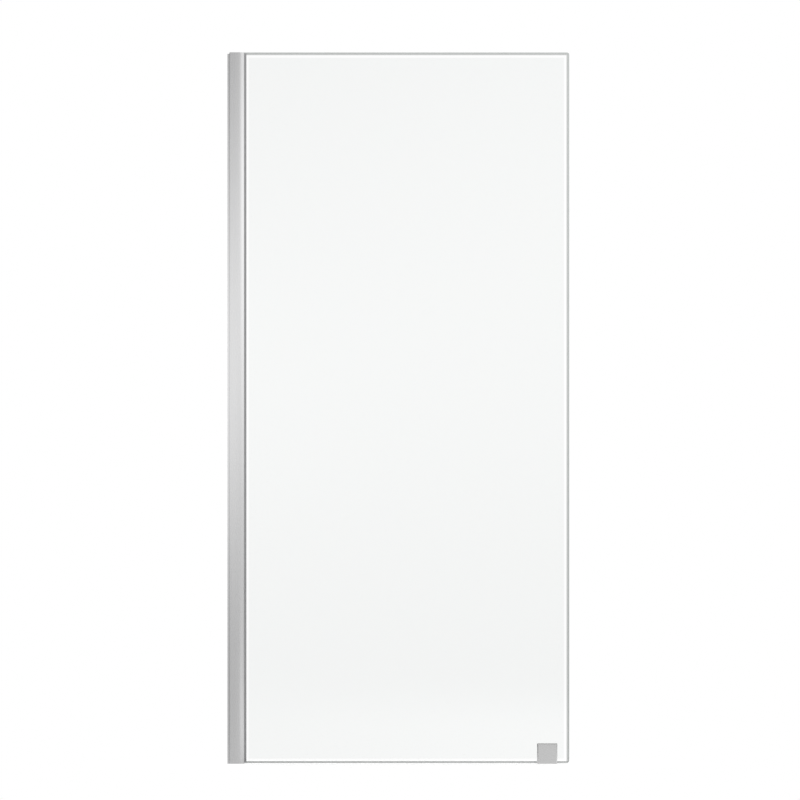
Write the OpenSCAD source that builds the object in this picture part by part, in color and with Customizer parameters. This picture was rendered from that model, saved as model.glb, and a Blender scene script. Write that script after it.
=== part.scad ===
// Fixed shower glass panel: a toughened pane held by a telescopic wall profile and a floor clamp.
// X runs from the wall to the free edge of the glass, Y from the front to the back, and Z up.
// The origin is at the foot of the wall face, in the middle plane of the glass, on the floor.

/* [Panel] */
// Height from the floor to the top edge
panel_height = 1900; // [1400:10:2200]
// Distance from the wall to the free edge of the glass
panel_width = 913; // [500:1:1400]

/* [Glass] */
// Thickness of the pane, with fully rounded polished edges
glass_thickness = 8; // [6:0.5:10]
// Gap between the lower edge of the pane and the floor
glass_floor_gap = 2; // [1:0.5:3]
// Radius of the pane's two free corners
pane_corner_r = 6; // [5.5:0.5:12]

/* [Wall channel] */
// Thickness of the web that lies on the wall
channel_web = 2; // [1.6:0.1:3]
// Thickness of the two side walls
channel_wall = 1.8; // [1.4:0.1:2.4]
// How far the side walls stand out from the wall
channel_reach = 33; // [31:1:40]
// Fillet between the web and the side walls
channel_fillet = 0.8; // [0.4:0.1:1.5]
// How far each side wall leans in at the wall, from where the glass profile's skins start
channel_lean = 0.5; // [0.2:0.1:0.8]
// How far the channel stops below the top cap
channel_top_gap = 1.5; // [1:0.5:6]
// Radius of the wall screw holes
wall_hole_r = 2.75; // [2.25:0.25:3.5]
// Number of wall screw holes
wall_hole_count = 4; // [3:1:6]
// Distance from each end of the channel to its nearest wall screw hole
wall_hole_margin = 108; // [60:1:200]

/* [Slide] */
// How far the glass side can move towards the wall from its set place
travel_in = 4; // [2:0.5:4.5]
// How far the glass side can move away from the wall from its set place
travel_out = 16; // [8:1:17]
// Running clearance on each sliding face
slide_gap = 0.3; // [0.25:0.05:0.5]
// End clearance left when the glass side is all the way in
end_gap = 0.5; // [0.5:0.1:1]

/* [Glass profile] */
// Distance from the wall to the edges of the outer skins
skin_edge = 5; // [4.8:0.1:6]
// Thickness of the outer skins
skin_wall = 2.5; // [2:0.1:3.5]
// Rounding of the skins' outer edges
skin_round = 2.2; // [1:0.1:2.3]
// Length of the solid nose between the slide slots and the mouth
nose_length = 7; // [5.5:0.5:9]
// Radius of the slight curve that leads from the flat faces to the nose
shoulder_r = 200; // [150:10:600]
// Length of that slight curve
shoulder_reach = 12; // [8:0.5:12]
// Radius of the nose, which brings the faces in to the mouth
nose_r = 24; // [22:1:34]
// Distance from the mouth back to where the nose starts
nose_reach = 13; // [8:1:14]
// Thickness of the walls of the glass pocket
pocket_wall = 1.5; // [1.2:0.1:2]
// Depth of the glass pocket
pocket_depth = 25; // [20:1:27]
// Outer radius of the screw port behind the pocket
port_r = 3.1; // [2.8:0.1:3.4]
// Width of the opening along the screw port
port_slot = 1.2; // [0.8:0.1:1.6]
// Thickness of the top cap
cap_plate = 2.5; // [2.2:0.1:4]
// Length of the top cap's tongue in the pocket
cap_tongue = 10; // [6:1:20]
// Radius of the thread of the top cap screw
cap_screw_r = 1.5; // [1.25:0.05:1.6]
// Length of the top cap screw
cap_screw_length = 12; // [9:1:20]

/* [Glazing] */
// Gap between the glass and each side of the pocket
gasket_gap = 2.8; // [2:0.1:3.5]
// Width of the gasket bead that shows in front of the mouth
bead_width = 5.9; // [4:0.1:7]
// Height of that bead above the glass
bead_height = 3.6; // [2.5:0.1:4]
// Length of the gasket inside the mouth
gasket_root = 5.2; // [5:0.1:6]
// Width of the gasket's barb and its groove
barb_width = 2; // [1.5:0.1:2.5]
// Depth of the groove
barb_depth = 1; // [0.5:0.1:1.2]
// Distance from the mouth to the groove
barb_inset = 2.5; // [2:0.1:2.5]
// Distance from the floor of the pocket to the edge of the glass
packer_web = 4; // [2:0.5:6]
// Length of the packers' legs beside the glass
packer_leg = 8; // [5:1:9]
// Height of each packer
packer_height = 60; // [30:5:100]
// Number of packers
packer_count = 4; // [2:1:6]
// Distance from each end of the profile to the nearest packer
packer_margin = 90; // [40:5:200]

/* [Locking screws] */
// Number of locking screws
lock_count = 4; // [3:1:5]
// Distance from each end of the channel to its nearest locking screw
lock_margin = 198; // [150:1:300]
// Distance from the edge of the channel's side wall to the locking screws
lock_inset = 6; // [5:0.5:6.5]
// Radius of the locking screws
lock_r = 2; // [1.5:0.1:2.2]
// Radius of the threaded inserts
insert_r = 3.6; // [3:0.1:4]
// Radius of the washers
washer_r = 5.2; // [4.8:0.1:6]
// Thickness of the washers
washer_plate = 1; // [0.6:0.1:1.5]
// Radius of the screw heads
lock_head_r = 3.8; // [3.4:0.1:4]
// Height of the screw heads
lock_head = 2.4; // [1.8:0.1:3]
// Wall of the caps over the screw heads
lock_cap_wall = 0.8; // [0.6:0.1:1]
// Radius of the caps' domes
lock_dome_r = 18; // [14:1:40]

/* [Floor clamp] */
// Width and height of the clamp
clamp_size = 54; // [50:1:70]
// Distance from the clamp to the free edge of the glass
clamp_edge_gap = 32; // [15:1:80]
// Depth of each jaw
jaw_depth = 11; // [11:0.5:16]
// Width of the bevels along the jaws' outer edges
jaw_bevel = 3; // [1.5:0.5:4]
// Thickness of the pads between the jaws and the glass
pad_plate = 1.5; // [1:0.1:2]
// How far the pads stand back from the edges of the jaws
pad_inset = 1; // [0.5:0.1:2]
// Width of the notch in the glass
notch_width = 38; // [36:0.5:40]
// Height of the notch above the floor
notch_height = 30; // [28:0.5:34]
// Radius of the notch's corners
notch_r = 8; // [6:0.5:9]
// Width of the foot of the rear jaw
foot_width = 34; // [30:0.5:35]
// Thickness of that foot
foot_plate = 5; // [4:0.5:6]
// Wall of the front jaw that hides the end of the foot
foot_cover = 2.7; // [2:0.1:3]
// Room above the foot for the heads of the floor screws
floor_head_room = 4.5; // [3.5:0.5:5]
// Radius of the floor screw holes
floor_hole_r = 2.75; // [2.25:0.25:3]
// Distance between the floor screw holes
floor_hole_spacing = 18; // [14:1:20]
// Distance from the glass's middle plane to the floor screw holes
floor_hole_y = 8.5; // [7.5:0.5:9.5]
// Radius of the clamp screws
clamp_screw_r = 3; // [2.5:0.25:3]
// Distance between the clamp screws
clamp_screw_spacing = 18; // [14:1:20]
// Height of the clamp screws above the floor
clamp_screw_z = 19; // [18:0.5:21]
// Wall of the spacers on the clamp screws
spacer_wall = 1.6; // [1:0.1:2]

/* [Hidden] */
$fn = 64;

// Clearance round threads and in seats that don't slide
seat_gap = 0.1;
// Overshoot of cutting shapes past the faces they cut
cut = 1;

// Half widths of the nested section, from the glass outwards
glass_half = glass_thickness / 2;
pocket_half = glass_half + gasket_gap;
pocket_outer = pocket_half + pocket_wall;
channel_inner = pocket_outer + slide_gap;
channel_outer = channel_inner + channel_wall;
skin_inner = channel_outer + slide_gap;
profile_half = skin_inner + skin_wall;

// Places along X, from the wall to the mouth of the glass profile
slot_end = channel_reach + travel_in + end_gap;
mouth_x = slot_end + nose_length;
nose_start = mouth_x - nose_reach;
shoulder_start = nose_start - shoulder_reach;
pocket_floor = mouth_x - pocket_depth;
glass_edge_x = pocket_floor + packer_web;
port_bore_r = cap_screw_r + seat_gap;
port_x = pocket_floor - pocket_wall - port_r + (port_r - port_bore_r) / 3;
lock_x = channel_reach - lock_inset;

// The nose starts with the slope and the height that the shoulder ends with
shoulder_slope = asin(shoulder_reach / shoulder_r);
nose_centre = [nose_start - nose_r * sin(shoulder_slope),
               profile_half - shoulder_r + (shoulder_r - nose_r) * cos(shoulder_slope)];

// Places along Y of what lies on the rear skin
washer_y = profile_half + slide_gap;
lock_head_y = washer_y + washer_plate;

// Countersink of the top cap screw
cap_hole_r = cap_screw_r + 2 * seat_gap;
cap_head_r = 2.1 * cap_screw_r;
cap_head = cap_head_r - cap_hole_r;

// Heights
profile_height = panel_height - cap_plate;
channel_height = profile_height - channel_top_gap;

// Floor clamp
clamp_x = panel_width - clamp_edge_gap - clamp_size / 2;
jaw_face = glass_half + pad_plate;
clamp_back = jaw_face + jaw_depth;
foot_front = clamp_back - foot_cover - slide_gap;
clamp_screw_xs = [-clamp_screw_spacing / 2, clamp_screw_spacing / 2];
clamp_head_r = 2 * clamp_screw_r;
clamp_head = clamp_head_r - clamp_screw_r;
clamp_thread_end = clamp_back - foot_cover;

// Even places for COUNT things between MARGIN from either end of a length
function spread(count, margin, length) =
    [for (i = [0 : count - 1]) margin + i * (length - 2 * margin) / (count - 1)];

// Square of the given size about the origin, with rounded corners
module rounded_square(size, r) {
    square([size.x - 2 * r, size.y], center = true);
    square([size.x, size.y - 2 * r], center = true);
    for (x = [-1, 1], y = [-1, 1])
        translate([x * (size.x / 2 - r), y * (size.y / 2 - r)]) circle(r);
}

// Square of the given size about the origin, with its corners bevelled at 45 degrees
module bevelled_square(size, bevel) {
    intersection() {
        square(size, center = true);
        rotate(45) square(((size.x + size.y) / 2 - bevel) * sqrt(2), center = true);
    }
}

// Extrudes an outline drawn in X and Z along Y, from y0 to y1
module extrude_y(y0, y1) {
    translate([0, y1, 0]) rotate([90, 0, 0]) linear_extrude(height = y1 - y0) children();
}

// Extrudes an outline drawn in Y and Z along X, from x0 to x1
module extrude_x(x0, x1) {
    translate([x0, 0, 0]) rotate([90, 0, 90]) linear_extrude(height = x1 - x0) children();
}

// A shape drawn on +Y, turned to the front or left at the back
module at_side(front) {
    mirror([0, front ? 1 : 0, 0]) children();
}

// Axis of things that point out of the back, at the given place
module facing_back(x, y, z) {
    translate([x, y, z]) rotate([-90, 0, 0]) children();
}

// Cross recess in a screw head of the given radius, opening upwards at z = 0
module cross_recess(head_r) {
    for (a = [0, 90])
        rotate([0, 0, a]) translate([-head_r / 2, -head_r / 9, -head_r / 3])
            cube([head_r, head_r / 4.5, head_r]);
}

// U section that lies on the wall
module channel_section() {
    difference() {
        polygon([[0, -channel_outer + channel_lean], [skin_edge, -channel_outer],
                 [channel_reach, -channel_outer], [channel_reach, channel_outer],
                 [skin_edge, channel_outer], [0, channel_outer - channel_lean]]);
        translate([channel_web + channel_reach, 0])
            rounded_square([2 * channel_reach, 2 * channel_inner], channel_fillet);
    }
}

module wall_channel() {
    color("silver") difference() {
        linear_extrude(height = channel_height) channel_section();
        for (z = spread(wall_hole_count, wall_hole_margin, channel_height))
            translate([-cut, 0, z]) rotate([0, 90, 0])
                cylinder(r = wall_hole_r, h = channel_web + 2 * cut);
        for (z = spread(lock_count, lock_margin, channel_height))
            facing_back(lock_x, channel_inner - cut, z)
                cylinder(r = insert_r, h = channel_wall + 2 * cut);
    }
}

// Flush threaded inserts pressed into the channel's rear side wall
module locking_inserts() {
    color("dimgray") for (z = spread(lock_count, lock_margin, channel_height))
        facing_back(lock_x, channel_inner, z) difference() {
            cylinder(r = insert_r, h = channel_wall);
            translate([0, 0, -cut]) cylinder(r = lock_r + seat_gap / 2, h = channel_wall + 2 * cut);
        }
}

// Pan head screws that run in the slots and thread into the inserts
module locking_screws() {
    color("gray") for (z = spread(lock_count, lock_margin, channel_height)) {
        facing_back(lock_x, channel_inner, z) cylinder(r = lock_r, h = lock_head_y - channel_inner);
        facing_back(lock_x, lock_head_y, z) difference() {
            cylinder(r = lock_head_r, h = lock_head);
            translate([0, 0, lock_head]) cross_recess(lock_head_r);
        }
    }
}

module locking_washers() {
    color("silver") for (z = spread(lock_count, lock_margin, channel_height))
        facing_back(lock_x, washer_y, z) difference() {
            cylinder(r = washer_r, h = washer_plate);
            translate([0, 0, -cut]) cylinder(r = lock_r + seat_gap, h = washer_plate + 2 * cut);
        }
}

// Domed caps that snap over the screw heads and sit on the washers
module locking_screw_caps() {
    inner_r = lock_head_r + seat_gap;
    outer_r = inner_r + lock_cap_wall;
    height = lock_head + seat_gap + lock_cap_wall;
    color("gainsboro") for (z = spread(lock_count, lock_margin, channel_height))
        facing_back(lock_x, lock_head_y, z) rotate_extrude() difference() {
            intersection() {
                square([outer_r, height]);
                translate([0, height - lock_dome_r]) circle(lock_dome_r, $fn = 4 * $fn);
            }
            translate([-cut, -cut]) square([inner_r + cut, lock_head + seat_gap + cut]);
        }
}

// Stretch of the profile's outline from x0 to x1, whose faces are an arc about CENTRE and its mirror image
module face_curve(x0, x1, centre, r, fn) {
    intersection() {
        translate([x0, -profile_half]) square([x1 - x0, 2 * profile_half]);
        translate(centre) circle(r, $fn = fn);
        mirror([0, 1]) translate(centre) circle(r, $fn = fn);
    }
}

// Outer outline of the glass profile: flat faces, then a shoulder and a nose that curve in to the mouth
module profile_outline() {
    difference() {
        translate([shoulder_start, 0])
            rounded_square([2 * (shoulder_start - skin_edge), 2 * profile_half], skin_round);
        translate([shoulder_start, -profile_half - cut]) square([shoulder_start, 2 * (profile_half + cut)]);
    }
    face_curve(shoulder_start, nose_start, [shoulder_start, profile_half - shoulder_r], shoulder_r, 16 * $fn);
    face_curve(nose_start, mouth_x, nose_centre, nose_r, 4 * $fn);
}

// Section of the glass profile: skins outside the channel, the glass pocket inside it
module profile_section() {
    difference() {
        profile_outline();
        difference() {
            translate([0, -skin_inner]) square([slot_end, 2 * skin_inner]);
            translate([pocket_floor - pocket_wall, -pocket_outer]) square([slot_end, 2 * pocket_outer]);
        }
        translate([pocket_floor, -pocket_half]) square([pocket_depth + cut, 2 * pocket_half]);
        translate([mouth_x - barb_inset - barb_width, -pocket_half - barb_depth])
            square([barb_width, 2 * (pocket_half + barb_depth)]);
    }
    difference() {
        translate([port_x, 0]) circle(port_r);
        translate([port_x, 0]) circle(port_bore_r);
        translate([port_x - 2 * port_r, -port_slot / 2]) square([2 * port_r, port_slot]);
        translate([pocket_floor - pocket_wall, -port_r]) square(2 * port_r);
    }
}

module glass_profile() {
    color("silver") difference() {
        linear_extrude(height = profile_height) profile_section();
        for (z = spread(lock_count, lock_margin, channel_height)) lock_slot(z);
    }
}

// Slot in the rear skin, as long as the travel, in which a locking screw runs
module lock_slot(z) {
    r = lock_r + slide_gap;
    translate([0, 0, z]) extrude_y(skin_inner - slide_gap / 2, profile_half + cut) {
        translate([lock_x - travel_out, -r]) square([travel_out + travel_in, 2 * r]);
        for (x = [lock_x - travel_out, lock_x + travel_in]) translate([x, 0]) circle(r);
    }
}

// Cap over the top of the glass profile, slotted for the pane and held by one screw
module profile_top_cap() {
    color("silver") difference() {
        union() {
            intersection() {
                translate([0, 0, profile_height]) linear_extrude(height = cap_plate) profile_outline();
                extrude_y(-profile_half - cut, profile_half + cut)
                    translate([skin_edge + mouth_x, profile_height])
                        rounded_square([2 * mouth_x, 2 * cap_plate], cap_plate * 0.8);
            }
            translate([pocket_floor + slide_gap, -pocket_half + slide_gap, profile_height - cap_tongue])
                cube([packer_web - 2 * slide_gap, 2 * (pocket_half - slide_gap), cap_tongue + cap_plate / 2]);
        }
        translate([glass_edge_x - slide_gap, -glass_half - slide_gap, profile_height - cut])
            cube([pocket_depth, 2 * (glass_half + slide_gap), cap_plate + 2 * cut]);
        translate([port_x, 0, profile_height - cut]) cylinder(r = cap_hole_r, h = cap_plate + 2 * cut);
        translate([port_x, 0, panel_height - cap_head])
            cylinder(r1 = cap_hole_r, r2 = cap_head_r, h = cap_head);
    }
}

// Countersunk screw into the port of the extrusion
module top_cap_screw() {
    color("gray") translate([port_x, 0, panel_height]) difference() {
        union() {
            translate([0, 0, -cap_screw_length]) cylinder(r = cap_screw_r, h = cap_screw_length);
            translate([0, 0, -cap_head])
                cylinder(r1 = cap_hole_r - seat_gap, r2 = cap_head_r - seat_gap, h = cap_head);
        }
        cross_recess(cap_head_r);
    }
}

// Section of one gasket, on +Y: root and barb in the mouth, bead in front of it
module gasket_section() {
    bead_r = (bead_width * bead_width + bead_height * bead_height) / (2 * bead_height);
    translate([mouth_x - gasket_root, glass_half]) square([gasket_root, gasket_gap]);
    translate([mouth_x - barb_inset - barb_width + seat_gap, glass_half])
        square([barb_width - 2 * seat_gap, gasket_gap + barb_depth - seat_gap]);
    intersection() {
        translate([mouth_x, glass_half]) square([bead_width, bead_height]);
        translate([mouth_x, glass_half + bead_height - bead_r]) circle(bead_r);
    }
}

module gasket(front) {
    at_side(front) translate([0, 0, glass_floor_gap])
        linear_extrude(height = profile_height - glass_floor_gap) gasket_section();
}

module front_gasket() {
    color("dimgray") gasket(true);
}

module rear_gasket() {
    color("dimgray") gasket(false);
}

// U shaped packers that centre the edge of the glass in the pocket
module edge_packers() {
    leg = gasket_gap - slide_gap;
    for (z = spread(packer_count, packer_margin, profile_height))
        color("whitesmoke") translate([0, 0, z - packer_height / 2]) difference() {
            translate([pocket_floor, -glass_half - leg, 0])
                cube([packer_web + packer_leg, glass_thickness + 2 * leg, packer_height]);
            translate([glass_edge_x, -glass_half, -cut])
                cube([packer_leg + cut, glass_thickness, packer_height + 2 * cut]);
        }
}

// Block at the foot of the pocket that carries the glass
module profile_setting_block() {
    color("whitesmoke") translate([pocket_floor + slide_gap, -pocket_half + slide_gap, 0])
        cube([pocket_depth - 2 * slide_gap, 2 * (pocket_half - slide_gap), glass_floor_gap - seat_gap]);
}

// Outline of the notch in X and Z, about the middle of the clamp and open at the floor
module notch_outline() {
    rounded_square([notch_width, 2 * notch_height], notch_r);
}

// Pane with square corners: its top, its foot and its free side have fully rounded edges
module square_pane() {
    intersection() {
        linear_extrude(height = panel_height) {
            translate([glass_edge_x, -glass_half])
                square([panel_width - glass_half - glass_edge_x, glass_thickness]);
            translate([panel_width - glass_half, 0]) circle(glass_half);
        }
        extrude_x(glass_edge_x, panel_width) {
            translate([-glass_half, glass_floor_gap + glass_half])
                square([glass_thickness, panel_height - glass_floor_gap - glass_thickness]);
            for (z = [glass_floor_gap + glass_half, panel_height - glass_half])
                translate([0, z]) circle(glass_half);
        }
    }
}

// A shape about the centre of the upper free corner, and its mirror image at the lower one
module at_free_corners() {
    for (z = [glass_floor_gap + pane_corner_r, panel_height - pane_corner_r])
        translate([panel_width - pane_corner_r, 0, z]) mirror([0, 0, z < panel_height / 2 ? 1 : 0]) children();
}

// Box that holds all of the pane beyond a corner's centre
module corner_box() {
    translate([0, -glass_thickness, 0])
        cube([pane_corner_r + cut, 2 * glass_thickness, pane_corner_r + cut]);
}

// Disc in the plane of the pane, with the same rounded edge
module corner_disc() {
    rotate([90, 0, 0]) rotate_extrude() {
        translate([0, -glass_half]) square([pane_corner_r - glass_half, glass_thickness]);
        intersection() {
            translate([pane_corner_r - glass_half, 0]) circle(glass_half);
            translate([pane_corner_r - glass_half, -glass_half]) square(glass_thickness);
        }
    }
}

module glass_pane() {
    color("azure", 0.4) difference() {
        union() {
            difference() {
                square_pane();
                at_free_corners() corner_box();
            }
            at_free_corners() intersection() {
                corner_disc();
                corner_box();
            }
        }
        translate([clamp_x, 0, 0]) extrude_y(-glass_thickness, glass_thickness) notch_outline();
    }
}

// Jaw on +Y with its inner face at y = 0, bevelled along its sides and its top
module jaw_block() {
    intersection() {
        linear_extrude(height = clamp_size) bevelled_square([clamp_size, 2 * jaw_depth], jaw_bevel);
        extrude_x(-clamp_size / 2, clamp_size / 2)
            bevelled_square([2 * jaw_depth, 2 * clamp_size], jaw_bevel);
        translate([-clamp_size / 2, 0, 0]) cube([clamp_size, jaw_depth, clamp_size]);
    }
}

// Jaw with the foot that runs through the notch to the front and is screwed to the floor
module clamp_rear_jaw() {
    color("silver") translate([clamp_x, 0, 0]) difference() {
        union() {
            translate([0, jaw_face, 0]) jaw_block();
            translate([-foot_width / 2, -foot_front, 0])
                cube([foot_width, foot_front + jaw_face + jaw_depth / 2, foot_plate]);
        }
        for (x = clamp_screw_xs) {
            facing_back(x, jaw_face - cut, clamp_screw_z)
                cylinder(r = clamp_screw_r + seat_gap, h = jaw_depth + 2 * cut);
            facing_back(x, clamp_back - clamp_head, clamp_screw_z)
                cylinder(r1 = clamp_screw_r + seat_gap, r2 = clamp_head_r + seat_gap, h = clamp_head);
        }
        for (x = [-floor_hole_spacing / 2, floor_hole_spacing / 2])
            translate([x, -floor_hole_y, -cut]) cylinder(r = floor_hole_r, h = foot_plate + 2 * cut);
    }
}

// Plain jaw that hides the foot, the floor screws and the blind threads behind it
module clamp_front_jaw() {
    color("silver") translate([clamp_x, 0, 0]) difference() {
        mirror([0, 1, 0]) translate([0, jaw_face, 0]) jaw_block();
        translate([-foot_width / 2 - slide_gap, -foot_front - slide_gap, -cut])
            cube([foot_width + 2 * slide_gap, foot_front, foot_plate + floor_head_room + cut]);
        for (x = clamp_screw_xs)
            facing_back(x, -clamp_thread_end, clamp_screw_z)
                cylinder(r = clamp_screw_r + seat_gap / 2, h = jaw_depth);
    }
}

module pad(y0, y1) {
    top = clamp_size - pad_inset;
    color("dimgray") translate([clamp_x, 0, 0]) extrude_y(y0, y1) difference() {
        translate([-clamp_size / 2 + pad_inset, glass_floor_gap + glass_half])
            square([clamp_size - 2 * pad_inset, top - glass_floor_gap - glass_half]);
        notch_outline();
    }
}

module clamp_front_pad() {
    pad(-jaw_face, -glass_half);
}

module clamp_rear_pad() {
    pad(glass_half, jaw_face);
}

// Countersunk screws from the back that draw the two jaws together
module clamp_screws() {
    length = clamp_back + clamp_thread_end - seat_gap;
    color("gray") for (x = clamp_screw_xs)
        facing_back(clamp_x + x, clamp_back - length, clamp_screw_z) difference() {
            union() {
                cylinder(r = clamp_screw_r, h = length);
                translate([0, 0, length - clamp_head])
                    cylinder(r1 = clamp_screw_r, r2 = clamp_head_r, h = clamp_head);
            }
            translate([0, 0, length - clamp_head])
                cylinder(r = 0.7 * clamp_screw_r, h = clamp_head + cut, $fn = 6);
        }
}

// Sleeves on the clamp screws that keep the jaws apart and the metal off the glass
module clamp_spacers() {
    bore_r = clamp_screw_r + seat_gap;
    color("whitesmoke") for (x = clamp_screw_xs)
        facing_back(clamp_x + x, -jaw_face, clamp_screw_z) difference() {
            cylinder(r = bore_r + spacer_wall, h = 2 * jaw_face);
            translate([0, 0, -cut]) cylinder(r = bore_r, h = 2 * (jaw_face + cut));
        }
}

// Blocks between the jaws that carry the glass on both sides of the notch
module clamp_setting_pads() {
    width = (clamp_size - notch_width) / 2 - pad_inset;
    color("whitesmoke") for (x = [-1, 1])
        translate([clamp_x + x * (clamp_size - width) / 2 - x * pad_inset / 2 - width / 2, -glass_half, 0])
            cube([width, glass_thickness, glass_floor_gap - seat_gap]);
}

wall_channel();
locking_inserts();
locking_screws();
locking_washers();
locking_screw_caps();
glass_profile();
profile_top_cap();
top_cap_screw();
front_gasket();
rear_gasket();
edge_packers();
profile_setting_block();
glass_pane();
clamp_rear_jaw();
clamp_front_jaw();
clamp_front_pad();
clamp_rear_pad();
clamp_screws();
clamp_spacers();
clamp_setting_pads();
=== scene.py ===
import math

import bmesh
import bpy
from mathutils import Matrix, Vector


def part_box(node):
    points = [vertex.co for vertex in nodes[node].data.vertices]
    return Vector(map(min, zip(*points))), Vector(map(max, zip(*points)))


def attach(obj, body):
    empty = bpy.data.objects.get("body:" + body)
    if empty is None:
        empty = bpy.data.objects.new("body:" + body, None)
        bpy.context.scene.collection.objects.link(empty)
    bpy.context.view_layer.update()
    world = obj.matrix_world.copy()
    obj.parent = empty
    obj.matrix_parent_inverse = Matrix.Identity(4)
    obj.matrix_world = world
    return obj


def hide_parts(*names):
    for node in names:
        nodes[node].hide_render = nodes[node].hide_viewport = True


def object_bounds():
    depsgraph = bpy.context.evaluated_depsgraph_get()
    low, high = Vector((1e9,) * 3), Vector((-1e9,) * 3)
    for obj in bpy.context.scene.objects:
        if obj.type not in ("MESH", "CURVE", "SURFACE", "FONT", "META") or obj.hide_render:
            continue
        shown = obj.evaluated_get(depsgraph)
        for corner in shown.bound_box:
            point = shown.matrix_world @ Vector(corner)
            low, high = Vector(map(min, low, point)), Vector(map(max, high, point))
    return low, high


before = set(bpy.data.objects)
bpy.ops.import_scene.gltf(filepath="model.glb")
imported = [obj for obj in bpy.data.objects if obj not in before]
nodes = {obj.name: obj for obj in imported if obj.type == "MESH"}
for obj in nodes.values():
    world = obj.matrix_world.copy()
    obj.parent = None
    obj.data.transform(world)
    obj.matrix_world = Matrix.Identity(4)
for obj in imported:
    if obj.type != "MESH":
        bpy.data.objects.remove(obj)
cad_low, cad_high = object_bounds()


# Wall channel
# The U section that is screwed to the wall. It is extruded aluminium, satin anodised and sawn to length. Its
# web has holes for the wall screws, and its rear side has holes for the threaded inserts.
mm = 0.001
merge_gap = 0.001 * mm
channel_low, channel_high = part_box("wall_channel")
channel_web = 2 * mm
channel_wall = 1.8 * mm
channel_fillet = 0.8 * mm
channel_lean = 0.5 * mm
channel_inner = channel_high.y - channel_wall
wall_hole_r = 2.75 * mm
wall_hole_margin = 108 * mm
insert_r = 3.6 * mm
lock_margin = 198 * mm
lock_x = channel_high.x - 6 * mm
skin_edge = 5 * mm
arris = 0.25 * mm
hole_sides = 48
satin_light = (0.67, 0.67, 0.67, 1)
satin_dark = (0.64, 0.64, 0.645, 1)
satin_smooth = 0.23
satin_rough = 0.33
line_depth = 0.02 * mm
lengthways = (1, 1, 0.004)


def spread(count, margin, length):
    """Even heights for a number of things between a margin at either end of a length."""
    return [margin + i * (length - 2 * margin) / (count - 1) for i in range(count)]


def take_up(piece):
    """Leaves one piece selected and active."""
    bpy.ops.object.select_all(action="DESELECT")
    piece.select_set(True)
    bpy.context.view_layer.objects.active = piece


def edit(piece):
    """Opens one piece in edit mode with nothing selected."""
    take_up(piece)
    bpy.ops.object.mode_set(mode="EDIT")
    bpy.ops.mesh.select_mode(type="VERT")
    bpy.ops.mesh.select_all(action="DESELECT")


def close_edit():
    bpy.ops.object.mode_set(mode="OBJECT")


def pick(piece, kind, test):
    """Selects the corners, edges or faces of a piece in edit mode for which a test of them holds."""
    bpy.ops.mesh.select_mode(type=kind)
    bpy.ops.mesh.select_all(action="DESELECT")
    shape = bmesh.from_edit_mesh(piece.data)
    parts = {"VERT": shape.verts, "EDGE": shape.edges, "FACE": shape.faces}[kind]
    for part in [p for p in parts if test(p)]:
        part.select_set(True)
    bmesh.update_edit_mesh(piece.data)


def draw_line(name, start, *legs):
    """Draws an open line in X and Y from a lone corner: two numbers extrude it straight to that place, and
    three numbers spin it about a centre through an angle in degrees."""
    bpy.ops.object.select_all(action="DESELECT")
    bpy.ops.mesh.primitive_plane_add(size=mm)
    piece = bpy.context.object
    piece.name = name
    bpy.ops.object.mode_set(mode="EDIT")
    bpy.ops.mesh.select_mode(type="VERT")
    bpy.ops.mesh.merge(type="CENTER")
    bpy.ops.transform.translate(value=(start[0], start[1], 0))
    here = Vector(start)
    for leg in legs:
        if len(leg) == 2:
            there = Vector(leg)
            step = there - here
            bpy.ops.mesh.extrude_region_move(TRANSFORM_OT_translate={"value": (step.x, step.y, 0)})
        else:
            centre = Vector(leg[:2])
            turn = math.radians(leg[2])
            arm = here - centre
            there = centre + Vector((arm.x * math.cos(turn) - arm.y * math.sin(turn),
                                     arm.x * math.sin(turn) + arm.y * math.cos(turn)))
            bpy.ops.mesh.spin(steps=max(8, round(abs(leg[2]) / 2.5)), angle=-turn, center=(*centre, 0),
                              axis=(0, 0, 1))
        here = there
    close_edit()
    return piece


def apply_modifier(piece, kind, **settings):
    """Adds one modifier to a piece with these settings and applies it."""
    take_up(piece)
    modifier = piece.modifiers.new(kind.lower(), kind)
    for setting, value in settings.items():
        setattr(modifier, setting, value)
    bpy.ops.object.modifier_apply(modifier=modifier.name)


def merge_doubles():
    bpy.ops.mesh.select_all(action="SELECT")
    bpy.ops.mesh.remove_doubles(threshold=merge_gap)


def turn_angle(corner):
    """Angle in degrees by which an outline turns at one of its corners, and 0 at an open end."""
    if len(corner.link_edges) != 2:
        return 0
    a, b = [edge.other_vert(corner).co - corner.co for edge in corner.link_edges]
    return 180 - math.degrees(a.angle(b))


def mirror_halves(piece):
    """Completes an outline whose back half was drawn, and leaves straight lines across the middle."""
    apply_modifier(piece, "MIRROR", use_axis=(False, True, False), merge_threshold=merge_gap)
    edit(piece)
    pick(piece, "VERT", lambda corner: abs(corner.co.y) < merge_gap and turn_angle(corner) < 0.1)
    bpy.ops.mesh.dissolve_verts()
    close_edit()


def ease_corners(piece, radius):
    """Rounds the sharp corners of an outline in edit mode."""
    pick(piece, "VERT", lambda corner: turn_angle(corner) > 30)
    bpy.ops.mesh.bevel(offset=radius, segments=3, affect="VERTICES")


def extrude_section(piece, low, high, corner_r):
    """Fills a closed outline, rounds its sharp corners, and extrudes it from one height to another."""
    edit(piece)
    merge_doubles()
    bpy.ops.mesh.edge_face_add()
    bpy.ops.transform.translate(value=(0, 0, low))
    ease_corners(piece, corner_r)
    bpy.ops.mesh.select_all(action="SELECT")
    bpy.ops.mesh.extrude_region_move(TRANSFORM_OT_translate={"value": (0, 0, high - low)})
    close_edit()


def combine(piece, other, operation):
    """Cuts another shape out of a piece, joins it on, or keeps what both fill."""
    apply_modifier(piece, "BOOLEAN", object=other, solver="EXACT", operation=operation)
    bpy.data.objects.remove(other)


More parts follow.
